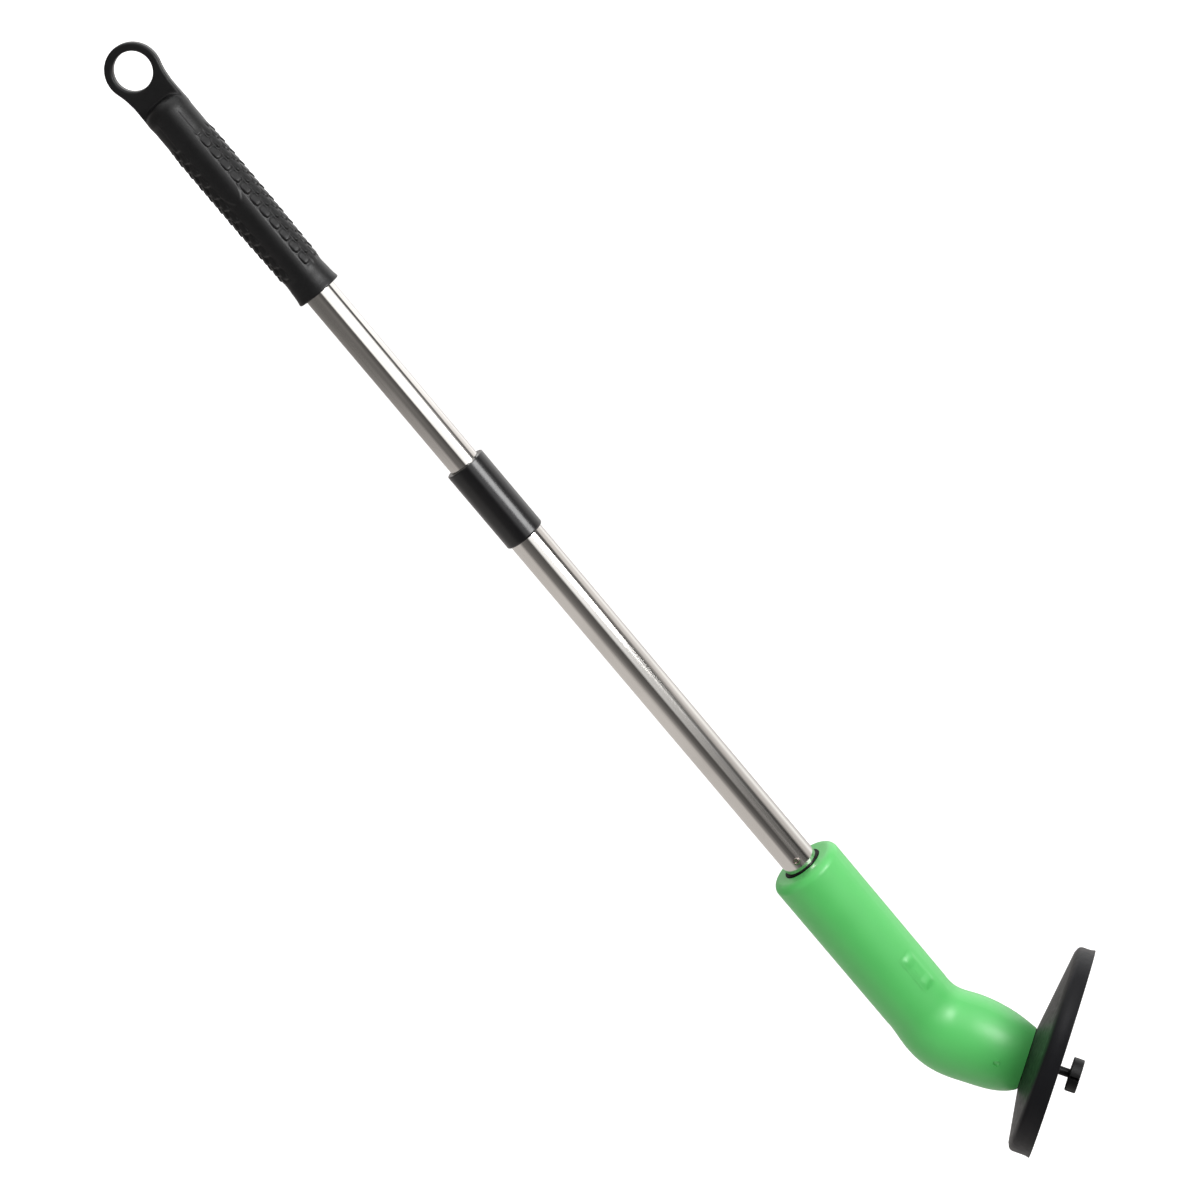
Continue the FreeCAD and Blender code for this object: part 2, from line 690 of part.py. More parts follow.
def along_y(name, radius, place, start, stop, turned_by=0.0):
    """A round rod parallel to Y between two values of Y, then turned clockwise about the pole axis."""
    item = doc.addObject("Part::Cylinder", name)
    lying = Rotation(Vector(1, 0, 0), -90)
    item.Placement = Placement(Vector(0, 0, 0), Rotation(Vector(0, 0, 1), -size(turned_by).value) * lying)
    x, y = swung(place[0], start, turned_by)
    bind(item, Radius=radius, Height=size(stop) - start,
         Placement__Base__x=x, Placement__Base__y=y, Placement__Base__z=place[1])
    return item


def make_housing():
    """Two half shells with screw bosses, the screws, the battery door and the slider's slot."""
    outer = elbow("shell_outside", size(0.0), [
        (0.0, d.straight_stop - d.vertex),
        (d.shell_rad, d.straight_stop - d.vertex),
        (d.shell_rad, -d.mouth),
        (0.0, -d.mouth),
    ], d.mouth_round)
    inner = elbow("shell_inside", d.shell_wall, [
        (0.0, d.straight_stop - d.vertex),
        (d.shell_rad - d.shell_wall, d.straight_stop - d.vertex),
        (d.shell_rad - d.shell_wall, -d.mouth - d.face_thick - d.mouth_round),
        (d.face_rad, -d.mouth - d.face_thick),
        (0.0, -d.mouth - d.face_thick),
    ])
    mouth = rod("mouth_drill", d.mouth_rad, -d.mouth - d.face_thick * 2, -d.mouth + d.face_thick)
    nose = rod("nose_drill", d.nose_bore, d.throat, d.nose + d.face_thick)
    on_motor(nose)
    slot = box("slider_slot",
               (d.tray_inner, -d.stem_half - d.slot_gap, -d.stem_end - d.slider_travel - d.slot_gap),
               (d.shell_rad + d.shell_wall, d.stem_half + d.slot_gap, -d.stem_top + d.slot_gap),
               d.controls_turn)
    hollow = fused("shell_hollow", [inner, mouth, nose, slot])
    shell = cut("shell_plain", outer, hollow)

    bosses = []
    drills = []
    screws = []
    for number, place in enumerate(screw_places()):
        bosses.append(along_y("boss_%d" % number, d.boss_rad, place, -d.boss_reach, d.boss_reach))
        shank = along_y("shank_%d" % number, d.screw_rad, place, -d.screw_reach, d.screw_reach)
        head = along_y("head_%d" % number, d.screw_head, place, d.screw_reach,
                       d.screw_reach + d.screw_head_thick)
        screws.append(fused("screw_%d" % number, [shank, head]))
        drills.append(along_y("drill_%d" % number, d.screw_rad, place, -d.screw_reach, d.screw_reach))
        drills.append(along_y("recess_%d" % number, d.screw_head, place, d.screw_reach, d.boss_reach))
    pillars = common("pillars", fused("pillar_rods", bosses), outer)
    bossed = boolean("shell_bossed", shell, pillars, "Fuse")
    whole = cut("shell_bored", bossed, fused("screw_drills", drills))
    group("housing_screws", screws)

    wide = d.shell_rad + SPARE * 2
    low = -d.vertex - SPARE * 2
    left_side = box("left_side", (-wide, -wide, low), (wide * 2, 0.0, -d.mouth + SPARE))
    right_side = box("right_side", (-wide, 0.0, low), (wide * 2, wide, -d.mouth + SPARE))
    door_space = box("door_space", (-d.door_half, d.door_level, -d.door_end),
                     (d.door_half, wide, -d.door_top), d.controls_turn)
    door_block = box("door_block",
                     (-d.door_half + d.door_gap, d.door_level, -d.door_end + d.door_gap),
                     (d.door_half - d.door_gap, wide, -d.door_top - d.door_gap), d.controls_turn)
    plug = along_motor_side("boss_plug", d.plug_rad, -d.plug_outer, -d.plug_inner)
    plug_drill = along_motor_side("plug_drill", d.plug_rad, -d.plug_outer - d.shell_wall, -d.plug_inner)
    plug.Label = "boss_plug"
    cut("housing_left", common("left_blank", whole, left_side), plug_drill)
    cut("housing_right", common("right_blank", whole, right_side), door_space)
    door_hole = along_y("door_screw_hole", d.screw_rad, (size(0.0), -d.door_screw_depth),
                        d.shell_rad - REACH, d.shell_rad + SPARE, d.controls_turn)
    cut("battery_door", common("door_blank", shell, door_block), door_hole)
    screw_shank = along_y("door_screw_shank", d.screw_rad, (size(0.0), -d.door_screw_depth),
                          d.post_inner + d.tray_wall, d.shell_rad, d.controls_turn)
    screw_top = along_y("door_screw_top", d.screw_head, (size(0.0), -d.door_screw_depth),
                        d.shell_rad, d.shell_rad + d.screw_head_thick / 2, d.controls_turn)
    fused("door_screw", [screw_shank, screw_top])


def along_motor_side(name, radius, start, stop):
    """A rod parallel to Y on the side of the motor housing."""
    bend = math.radians(d.bend.value)
    place = (
        d.plug_along * math.sin(bend) + d.plug_across * math.cos(bend),
        d.plug_along * -math.cos(bend) + d.plug_across * math.sin(bend) - d.vertex)
    return along_y(name, radius, place, start, stop)


def make_socket():
    """Dark seal inside the mouth and the closed socket that grips the lower tube."""
    seal = new_body("mouth_seal")
    turned(seal, "seal", [
        (d.outer_rad, -d.seal_top - d.seal_thick),
        (d.seal_rad, -d.seal_top - d.seal_thick),
        (d.seal_rad, -d.seal_top),
        (d.mouth_rad - d.seal_gap, -d.seal_top),
        (d.mouth_rad - d.seal_gap, -d.seal_lip),
        (d.outer_rad, -d.seal_lip),
    ])
    dressed(seal, "Fillet", "lip", d.mouth_rad - d.seal_gap, -d.seal_lip, Radius=d.seal_lip_round)
    socket = new_body("pole_socket")
    rib_rad = d.shell_rad - d.shell_wall
    turned(socket, "cup", [
        (0.0, -d.outer_end - d.socket_floor),
        (rib_rad, -d.outer_end - d.socket_floor),
        (rib_rad, -d.outer_end),
        (d.socket_rad, -d.outer_end),
        (d.socket_rad, -d.socket_rib - d.socket_floor),
        (rib_rad, -d.socket_rib - d.socket_floor),
        (rib_rad, -d.socket_rib),
        (d.socket_rad, -d.socket_rib),
        (d.socket_rad, -d.seal_top - d.seal_thick),
        (d.outer_rad, -d.seal_top - d.seal_thick),
        (d.outer_rad, -d.outer_end),
        (0.0, -d.outer_end),
    ])


def make_cells():
    """Four cells in a tray with contact plates at both ends."""
    cells = []
    plates = []
    cell_end = d.cell_top + d.cell_length + d.cell_nub
    for number, (side, face) in enumerate(((1, 1), (-1, 1), (-1, -1), (1, -1))):
        points_up = number % 2 == 0
        x = d.cell_pitch * side
        y = d.cell_pitch * face
        barrel_low = -cell_end if points_up else d.cell_nub - cell_end
        nub_low = -d.cell_top - d.cell_nub if points_up else -cell_end
        barrel = upright("cell_barrel_%d" % number, d.cell_rad, x, y, barrel_low, d.cell_length)
        nub = upright("cell_nub_%d" % number, d.cell_nub_rad, x, y, nub_low, d.cell_nub)
        cells.append(fused("cell_%d" % number, [barrel, nub]))
    for number, side in enumerate((-1, 1)):
        x = d.cell_pitch * side
        reach = d.cell_pitch + d.contact_half
        for end, low in enumerate((-d.cell_top, -cell_end - d.contact_thick)):
            plates.append(box("contact_%d_%d" % (number, end),
                              (x - d.contact_half, -reach, low),
                              (x + d.contact_half, reach, low + d.contact_thick)))
    on_pole(group("battery_cells", cells), turn=-d.controls_turn)
    on_pole(group("contact_plates", plates), turn=-d.controls_turn)
    top = d.contact_thick - d.cell_top
    bottom = -cell_end - d.contact_thick
    tray = ring("tray", d.tray_rad, d.tray_inner, bottom - d.tray_wall, top + d.tray_wall, d.tray_arc)
    for name, low in (("upper_plate", top), ("lower_plate", bottom - d.tray_wall)):
        sketch = new_sketch(tray, name + "_outline", "XY_Plane")
        circle(sketch, d.tray_rad - d.door_gap)
        sketch.AttachmentOffset = Placement(Vector(0, 0, low.value), Rotation())
        bind(sketch, AttachmentOffset__Base__z=low)
        plate = tray.newObject("PartDesign::Pad", name)
        plate.Profile = sketch
        bind(plate, Length=d.tray_wall)
    tray.Placement = Placement(Vector(0, 0, 0), Rotation(Vector(0, 0, 1), -90))
    post = box("tray_post", (-d.post_half, d.post_inner, bottom - d.tray_wall),
               (d.post_half, d.post_outer, -d.post_top))
    screw_hole = along_y("post_hole", d.screw_rad + d.post_gap, (size(0.0), -d.door_screw_depth),
                         d.post_inner, d.post_outer + d.tray_wall)
    notch = box("switch_notch",
                (d.switch_face - d.switch_deep - d.pad_gap, -d.switch_half - d.pad_gap, -d.switch_end),
                (d.shell_rad, d.switch_half + d.pad_gap, -d.switch_top))
    holder = cut("battery_holder", fused("tray_with_post", [tray, post]),
                 fused("tray_cutters", [screw_hole, notch]))
    on_pole(holder, turn=-d.controls_turn)


def upright(name, radius, x, y, low, height):
    """A round rod parallel to Z."""
    item = doc.addObject("Part::Cylinder", name)
    bind(item, Radius=radius, Height=height,
         Placement__Base__x=x, Placement__Base__y=y, Placement__Base__z=low)
    return item


def make_switch():
    """Switch under the slot, and the slider: a curved pad with two cross ribs and a stem."""
    switch = box("switch_body",
                 (d.switch_face - d.switch_deep, -d.switch_half, -d.switch_end),
                 (d.switch_face, d.switch_half, -d.switch_top), d.controls_turn)
    switch.Label = "switch_body"
    inside = d.shell_rad + d.pad_gap
    top = inside + d.pad_thick
    rib = d.rib_width / 2
    crown = new_body("slider_crown")
    turned(crown, "crown", [
        (inside, -d.pad_end),
        (top, -d.pad_end),
        (top, -d.rib_second - rib),
        (top + d.rib_rise, -d.rib_second - rib / 2),
        (top + d.rib_rise, -d.rib_second + rib / 2),
        (top, -d.rib_second + rib),
        (top, -d.rib_first - rib),
        (top + d.rib_rise, -d.rib_first - rib / 2),
        (top + d.rib_rise, -d.rib_first + rib / 2),
        (top, -d.rib_first + rib),
        (top, -d.pad_top),
        (inside, -d.pad_top),
    ])
    outline = box("slider_outline", (d.switch_face, -d.pad_half, -d.pad_end),
                  (top + d.rib_rise, d.pad_half, -d.pad_top))
    pad = common("slider_pad", crown, outline)
    stem = box("slider_stem", (d.switch_face + d.pad_gap, -d.stem_half, -d.stem_end),
               (inside + d.pad_thick / 2, d.stem_half, -d.stem_top))
    on_pole(fused("power_slider", [pad, stem]), turn=-d.controls_turn)


# ---------------------------------------------------------------- motor, guard and hub

def make_motor():
    can = new_body("motor_can")
    turned(can, "can", [
        (d.can_rad - d.can_wall, d.can_back),
        (d.can_rad, d.can_back),
        (d.can_rad, d.can_front),
        (d.can_boss_rad, d.can_front),
        (d.can_boss_rad, d.can_boss_front),
        (d.shaft_rad + d.bearing_gap, d.can_boss_front),
        (d.shaft_rad + d.bearing_gap, d.can_front - d.can_wall),
        (d.can_rad - d.can_wall, d.can_front - d.can_wall),
    ])
    cap = new_body("motor_end_cap")
    turned(cap, "cap", [
        (d.shaft_rad + d.bearing_gap, d.cap_back),
        (d.can_rad, d.cap_back),
        (d.can_rad, d.can_back),
        (d.cap_bore, d.can_back),
        (d.cap_bore, d.cap_floor),
        (d.shaft_rad + d.bearing_gap, d.cap_floor),
    ])
    magnets = []
    for number, turn in enumerate((0, 180)):
        magnet = ring("magnet_%d" % number, d.can_rad - d.can_wall, d.magnet_inner,
                      d.magnet_back, d.magnet_front, d.magnet_arc)
        magnet.Placement = Placement(Vector(0, 0, 0), Rotation(Vector(0, 0, 1), turn))
        magnets.append(magnet)
    pair = group("motor_magnets", magnets)
    plate = new_body("motor_mount")
    turned(plate, "plate", [
        (d.can_boss_rad, d.mount_back),
        (d.mount_flange_rad, d.mount_back),
        (d.mount_flange_rad, d.mount_back + d.mount_flange),
        (d.mount_rad, d.mount_back + d.mount_flange),
        (d.mount_rad, d.mount_front),
        (d.can_boss_rad, d.mount_front),
    ])
    shaft = rod("motor_shaft", d.shaft_rad, d.shaft_back, d.shaft_front)
    armature = ring("armature", d.armature_rad, d.shaft_rad, d.armature_back, d.armature_front)
    commutator = ring("commutator", d.commutator_rad, d.shaft_rad, d.commutator_back, d.commutator_front)
    for piece in (can, cap, pair, plate, shaft, armature, commutator):
        on_motor(piece)


def bolt_circle(name, count, distance, shank, head, head_thick, under_head, tip):
    """Screws parallel to the motor axis, heads towards the hub, and the drills for their shanks."""
    screws = []
    drills = []
    for number in range(count):
        angle = math.radians(FULL_TURN / count * number)
        x = distance * math.cos(angle)
        y = distance * math.sin(angle)
        stalk = upright("%s_stalk_%d" % (name, number), shank, x, y, tip, under_head - tip)
        top = upright("%s_top_%d" % (name, number), head, x, y, under_head, head_thick)
        screws.append(fused("%s_%d" % (name, number), [stalk, top]))
        drills.append(upright("%s_drill_%d" % (name, number), shank, x, y, tip, under_head - tip))
    return screws, drills


def make_guard():
    """Shallow dish: a cone about the motor axis cut by a round wall whose centre is off that axis."""
    slope_end = d.guard_seat + d.guard_cone_drop

    def cone(label, depth, front):
        body = new_body(label)
        turned(body, label + "_turn", [
            (0.0, d.guard_seat + depth),
            (d.guard_seat_rad, d.guard_seat + depth),
            (d.guard_reach, slope_end + depth),
            (d.guard_reach, front),
            (0.0, front),
        ])
        return body

    def wall(label, radius):
        return upright(label, radius, -d.guard_shift, size(0.0), size(0.0), d.guard_front + SPARE)

    solid = common("guard_solid", cone("guard_outside", size(0.0), d.guard_front),
                   wall("guard_rim", d.guard_rad))
    doc.recompute()
    rounded = doc.addObject("Part::Fillet", "guard_rounded")
    rounded.Base = solid
    rim_edges = []
    for index, edge in enumerate(solid.Shape.Edges, start=1):
        points = edge.discretize(RIM_SAMPLES)
        on_rim = all(abs(math.hypot(point.x + d.guard_shift.value, point.y) - d.guard_rad.value) < TOUCH
                     for point in points)
        behind = max(point.z for point in points) < d.guard_front.value - TOUCH
        if on_rim and behind and edge.Length > d.guard_rad.value:
            rim_edges.append((index, d.guard_round.value, d.guard_round.value))
    rounded.Edges = rim_edges
    hollow = common("guard_hollow", cone("guard_inside", d.guard_wall, d.guard_front + REACH),
                    wall("guard_inner_wall", d.guard_rad - d.guard_wall))
    screws, drills = bolt_circle("guard_screw", GUARD_BOLTS, d.guard_bolt_ring, d.guard_bolt_rad,
                                 d.guard_bolt_head, d.guard_bolt_head_thick,
                                 d.guard_seat + d.guard_wall, d.guard_bolt_tip)
    centre = upright("guard_centre", d.guard_bore, size(0.0), size(0.0), size(0.0), d.guard_front)
    guard = cut("guard", rounded, fused("guard_cutters", [hollow, centre] + drills))
    seal = ring("neck_seal", d.neck_seal_outer, d.neck_seal_inner, d.nose, d.guard_seat)
    on_motor(guard)
    on_motor(seal)
    on_motor(group("guard_screws", screws))


def make_motor_screws():
    screws, drills = bolt_circle("motor_screw", 2, d.motor_bolt_ring, d.motor_bolt_rad, d.motor_bolt_head,
                                 d.motor_bolt_head_thick, d.mount_front, d.motor_bolt_tip)
    on_motor(group("motor_screws", screws))


def make_hub():
    """Stem pressed on the shaft, and the head with the slot that takes the cutting tie."""
    stem = new_body("hub_stem")
    turned(stem, "stem", [
        (d.shaft_rad, d.stem_back),
        (d.stem_rad, d.stem_back),
        (d.stem_rad, d.hub_back),
        (0.0, d.hub_back),
        (0.0, d.shaft_front),
        (d.shaft_rad, d.shaft_front),
    ])
    head = new_body("hub_head")
    turned(head, "disc", [
        (0.0, d.hub_back),
        (d.hub_rad, d.hub_back),
        (d.hub_rad, d.hub_front),
        (0.0, d.hub_front),
    ])
    dressed(head, "Chamfer", "front_edge", d.hub_rad, d.hub_front, Size=d.hub_edge)
    dressed(head, "Chamfer", "back_edge", d.hub_rad, d.hub_back, Size=d.hub_edge)
    for name, side in (("tie_slot_a", 1), ("tie_slot_b", -1)):
        middle = d.tie_offset * side
        pocketed(head, name, lambda s: polygon(s, [
            (middle - d.tie_thick / 2, d.tie_back),
            (middle + d.tie_thick / 2, d.tie_back),
            (middle + d.tie_thick / 2, d.tie_back + d.tie_width),
            (middle - d.tie_thick / 2, d.tie_back + d.tie_width),
        ]), SPARE, "XZ_Plane")
    for piece in (stem, head):
        on_motor(piece)


STEPS = (make_grip, make_upper_tube, make_bush, make_collet, make_collar, make_lower_tube, make_housing,
         make_socket, make_cells, make_switch, make_motor, make_motor_screws, make_guard, make_hub)
NODES = (
    "grip", "upper_tube", "bush_carrier", "guide_bush", "lock_collar", "collet", "lower_tube", "tube_rivet",
    "mouth_seal", "pole_socket", "housing_left", "housing_right", "housing_screws", "boss_plug",
    "battery_holder", "battery_cells", "contact_plates", "battery_door", "door_screw", "switch_body",
    "power_slider", "motor_can", "motor_end_cap", "motor_magnets", "motor_mount", "motor_screws",
    "motor_shaft", "armature", "commutator", "neck_seal", "guard", "guard_screws", "hub_stem", "hub_head",
)


def export():
    """Check the whole document, then write one file for each node."""
    doc.recompute()
    for item in doc.Objects:
        if "Invalid" in item.State or "Error" in item.State:
            raise RuntimeError("%s failed: %s" % (item.Name, item.State))
    os.makedirs("parts", exist_ok=True)
    for old in os.listdir("parts"):
        if old.endswith(".step"):
            os.remove(os.path.join("parts", old))
    for name in NODES:
        item = doc.getObjectsByLabel(name)[0]
        shape = item.Shape
        if shape.isNull() or not shape.isValid() or not shape.Solids:
            raise RuntimeError("%s has no valid solid" % name)
        shape.exportStep(os.path.join("parts", name + ".step"))
        bounds = shape.BoundBox
        print("%-16s %2d solids %10.1f mm3  x %7.1f..%7.1f  y %6.1f..%6.1f  z %7.1f..%7.1f" % (
            name, len(shape.Solids), shape.Volume, bounds.XMin, bounds.XMax,
            bounds.YMin, bounds.YMax, bounds.ZMin, bounds.ZMax))


for step in STEPS:
    step()
export()
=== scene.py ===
"""Looks of the telescopic grass trimmer: grip, guard, switch pad, every material, and a white studio."""

import json
import math

import bmesh
import bpy
import numpy as np
from mathutils import Matrix, Vector


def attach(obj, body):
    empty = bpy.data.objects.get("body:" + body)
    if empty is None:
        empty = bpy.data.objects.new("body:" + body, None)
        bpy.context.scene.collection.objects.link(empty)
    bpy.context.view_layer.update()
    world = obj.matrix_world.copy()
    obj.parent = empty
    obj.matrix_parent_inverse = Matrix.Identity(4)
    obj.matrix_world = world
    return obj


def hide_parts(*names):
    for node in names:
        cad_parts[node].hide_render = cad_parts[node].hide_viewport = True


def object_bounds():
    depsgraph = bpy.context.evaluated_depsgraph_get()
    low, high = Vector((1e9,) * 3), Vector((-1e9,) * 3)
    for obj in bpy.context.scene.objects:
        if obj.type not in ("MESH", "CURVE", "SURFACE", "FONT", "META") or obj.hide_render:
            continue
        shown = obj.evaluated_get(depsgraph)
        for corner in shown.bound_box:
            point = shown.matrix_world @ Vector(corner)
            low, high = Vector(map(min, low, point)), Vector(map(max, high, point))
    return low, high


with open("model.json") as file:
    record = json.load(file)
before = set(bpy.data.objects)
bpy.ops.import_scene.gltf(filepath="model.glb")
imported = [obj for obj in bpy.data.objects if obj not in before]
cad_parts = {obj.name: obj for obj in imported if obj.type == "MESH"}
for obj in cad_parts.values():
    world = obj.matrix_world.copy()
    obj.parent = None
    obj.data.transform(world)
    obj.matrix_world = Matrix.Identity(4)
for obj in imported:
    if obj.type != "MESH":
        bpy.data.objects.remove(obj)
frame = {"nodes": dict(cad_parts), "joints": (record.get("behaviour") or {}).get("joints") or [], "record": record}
cad_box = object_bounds()
scene = bpy.context.scene
nodes = frame["nodes"]
record = frame["record"]
MM = 0.001


# ---------------------------------------------------------------- places read from the frame

def mount(name):
    return [m for m in record["mounts"] if m["name"] == name][0]


def joint(name):
    return [j for j in frame["joints"] if j["name"] == name][0]


hole_axis = Vector(mount("hang_hole")["axis"])
grip_turn = Matrix.Rotation(math.atan2(-hole_axis.x, hole_axis.y), 4, "Z")
motor_axis = Vector(joint("spindle_spin")["axis"]).normalized()
motor_point = Vector(joint("spindle_spin")["pos_m"])


# ---------------------------------------------------------------- materials

NOISE_RANGE = (0.3, 0.7)  # nearly all of a noise's values lie in here


class Look:
    """A Principled material whose varying inputs come from noise in the object's own coordinates."""

    def __init__(self, name, roughness, **sockets):
        self.material = bpy.data.materials.new(name)
        self.material.use_nodes = True
        self.tree = self.material.node_tree
        self.shader = self.tree.nodes["Principled BSDF"]
        self.shader.inputs["Roughness"].default_value = roughness
        for socket, value in sockets.items():
            self.shader.inputs[socket.replace("_", " ").title().replace("Ior", "IOR")].default_value = value
        self.place = self.tree.nodes.new("ShaderNodeTexCoord").outputs["Object"]

    def add(self, kind, **settings):
        node = self.tree.nodes.new(kind)
        for name, value in settings.items():
            setattr(node, name, value)
        return node

    def join(self, start, end):
        self.tree.links.new(start, end)

    def noise(self, scale, detail=2.0, stretch=(1.0, 1.0, 1.0)):
        """Noise with so many features per metre, drawn out along an axis by a small stretch there."""
        mapping = self.add("ShaderNodeMapping")
        mapping.inputs["Scale"].default_value = [scale * s for s in stretch]
        self.join(self.place, mapping.inputs["Vector"])
        noise = self.add("ShaderNodeTexNoise")
        noise.inputs["Scale"].default_value = 1.0
        noise.inputs["Detail"].default_value = detail
        self.join(mapping.outputs["Vector"], noise.inputs["Vector"])
        return noise.outputs["Fac"]

    def spread(self, factor, low, high):
        """Noise stretched out from its usual range to two values."""
        spread = self.add("ShaderNodeMapRange")
        spread.inputs["From Min"].default_value = NOISE_RANGE[0]
        spread.inputs["From Max"].default_value = NOISE_RANGE[1]
        spread.inputs["To Min"].default_value = low
        spread.inputs["To Max"].default_value = high
        self.join(factor, spread.inputs["Value"])
        return spread.outputs["Result"]

    def tones(self, tone, drift, factor):
        """Base colour that drifts between a darker and a lighter tone, a share of drift either way."""
        mix = self.add("ShaderNodeMix", data_type="RGBA")
        mix.inputs["A"].default_value = (*[c * (1 - drift) for c in tone], 1)
        mix.inputs["B"].default_value = (*[c * (1 + drift) for c in tone], 1)
        self.join(self.spread(factor, 0.0, 1.0), mix.inputs["Factor"])
        self.join(mix.outputs["Result"], self.shader.inputs["Base Color"])

    def polish(self, low, high, factor):
        """Roughness that varies between two values."""
        self.join(self.spread(factor, low, high), self.shader.inputs["Roughness"])

    def grain(self, height, factor):
        """Surface relief of a height in metres."""
        bump = self.add("ShaderNodeBump")
        bump.inputs["Strength"].default_value = 1.0
        bump.inputs["Distance"].default_value = height
        self.join(factor, bump.inputs["Height"])
        self.join(bump.outputs["Normal"], self.shader.inputs["Normal"])


PATCHES = {"plastic": 35, "metal": 18}  # features per metre of the drift in colour
HAZE = 260  # the same for a moulding's roughness
ALONG = (1.0, 1.0, 0.006)  # scratches drawn out along the pole
WOUND = (1.0, 1.0, 0.2)


def plastic(name, tone, roughness, grain=0.02 * MM, drift=0.12, grain_scale=1400, **sockets):
    look = Look(name, roughness, **sockets)
    look.tones(tone, drift, look.noise(PATCHES["plastic"], 3.0))
    look.polish(roughness * 0.88, roughness * 1.12, look.noise(HAZE, 3.0))
    look.grain(grain, look.noise(grain_scale, 1.5))
    return look.material


def metal(name, tone, roughness, stretch=(1.0, 1.0, 1.0), scale=900, scratch=0.004 * MM, drift=0.06):
    look = Look(name, roughness, metallic=1.0)
    lines = look.noise(scale, 3.0, stretch)
    look.tones(tone, drift, look.noise(PATCHES["metal"], 3.0))
    look.polish(roughness * 0.7, roughness * 1.4, lines)
    look.grain(scratch, lines)
    return look.material


LOOKS = {
    "grip_plastic": plastic("grip_black", (0.0062, 0.0062, 0.0066), 0.38,
                            grain=0.03 * MM, specular_ior_level=0.4),
    "tube_steel": metal("polished_tube", (0.74, 0.72, 0.69), 0.11, ALONG, scale=1500, scratch=0.0015 * MM),
    "collar_plastic": plastic("collar_gloss", (0.0045, 0.0045, 0.0052), 0.24,
                              grain=0.0015 * MM, coat_weight=0.25, coat_roughness=0.2),
    "housing_plastic": plastic("housing_green", (0.096, 0.545, 0.128), 0.46,
                               grain=0.008 * MM, drift=0.03, coat_weight=0.45, coat_roughness=0.3),
    "guard_plastic": plastic("guard_black", (0.0085, 0.0085, 0.01), 0.42,
                             grain=0.012 * MM, specular_ior_level=0.15),
    "hub_plastic": plastic("hub_black", (0.0035, 0.0035, 0.004), 0.42, specular_ior_level=0.3),
    "seal_rubber": plastic("seal_rubber", (0.003, 0.003, 0.003), 0.55, specular_ior_level=0.12),
    "inner_plastic": plastic("inner_plastic", (0.02, 0.02, 0.022), 0.5),
    "nylon": plastic("nylon", (0.62, 0.61, 0.56), 0.45, subsurface_weight=0.15),
    "rivet_steel": metal("rivet_steel", (0.42, 0.36, 0.33), 0.28),
    "screw_steel": metal("screw_zinc", (0.55, 0.55, 0.56), 0.3),
    "contact_metal": metal("contact_nickel", (0.7, 0.68, 0.62), 0.25),
    "motor_steel": metal("motor_zinc", (0.58, 0.58, 0.57), 0.32, scale=300),
    "magnet": plastic("ferrite", (0.05, 0.05, 0.052), 0.7, grain=0.05 * MM),
    "winding": metal("copper_winding", (0.66, 0.3, 0.14), 0.35, WOUND, scale=1200),
    "cell_wrap": plastic("cell_wrap", (0.03, 0.06, 0.16), 0.3),
}


def dress(piece, material):
    piece.data.materials.clear()
    piece.data.materials.append(material)


def shaded(piece, angle=35.0):
    """Smooth shading with sharp edges kept."""
    piece.data.shade_smooth()
    piece.data.set_sharp_from_angle(angle=math.radians(angle))


slot_of = {part["node"]: part["material_slot"] for part in record["subparts"]}
for name, thing in nodes.items():
    dress(thing, LOOKS[slot_of[name]])


# ---------------------------------------------------------------- meshes

def new_piece(name, data, body, slot_name, stands_for):
    piece = bpy.data.objects.new(name, data)
    scene.collection.objects.link(piece)
    dress(piece, LOOKS[slot_name])
    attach(piece, body)
    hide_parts(stands_for)
    return piece


def lathe_mesh(name, outline, turns):
    """A closed solid from an outline of (radius, height) that starts and ends on the axis."""
    mesh = bmesh.new()
    rings = []
    for radius, height in outline:
        if radius == 0:
            rings.append([mesh.verts.new((0, 0, height))])
            continue
        rings.append([mesh.verts.new((radius * math.cos(a), radius * math.sin(a), height))
                      for a in np.linspace(0, 2 * math.pi, turns, endpoint=False)])
    for first, second in zip(rings, rings[1:]):
        for i in range(turns):
            j = (i + 1) % turns
            if len(first) == 1:
                mesh.faces.new((first[0], second[j], second[i]))
            elif len(second) == 1:
                mesh.faces.new((first[i], first[j], second[0]))
            else:
                mesh.faces.new((first[i], first[j], second[j], second[i]))
    bmesh.ops.recalc_face_normals(mesh, faces=mesh.faces)
    data = bpy.data.meshes.new(name)
    mesh.to_mesh(data)
    mesh.free()
    return data


def applied(thing):
    """The mesh of an object with its modifiers, as a new mesh."""
    evaluated = thing.evaluated_get(bpy.context.evaluated_depsgraph_get())
    return bpy.data.meshes.new_from_object(evaluated)


def smooth_step(value, low, high):
    share = np.clip((value - low) / (high - low), 0, 1)
    return share * share * (3 - 2 * share)


# ---------------------------------------------------------------- grip

GRIP_RAD = 13.7 * MM
GRIP_TOP = 22.0 * MM
GRIP_END = 159.0 * MM
GRIP_SHOULDER = 7.0 * MM
GRIP_BORE = 9.8 * MM
BORE_TOP = 48.0 * MM
STRAIGHT_DEPTHS = range(36, 108, 6)  # millimetres
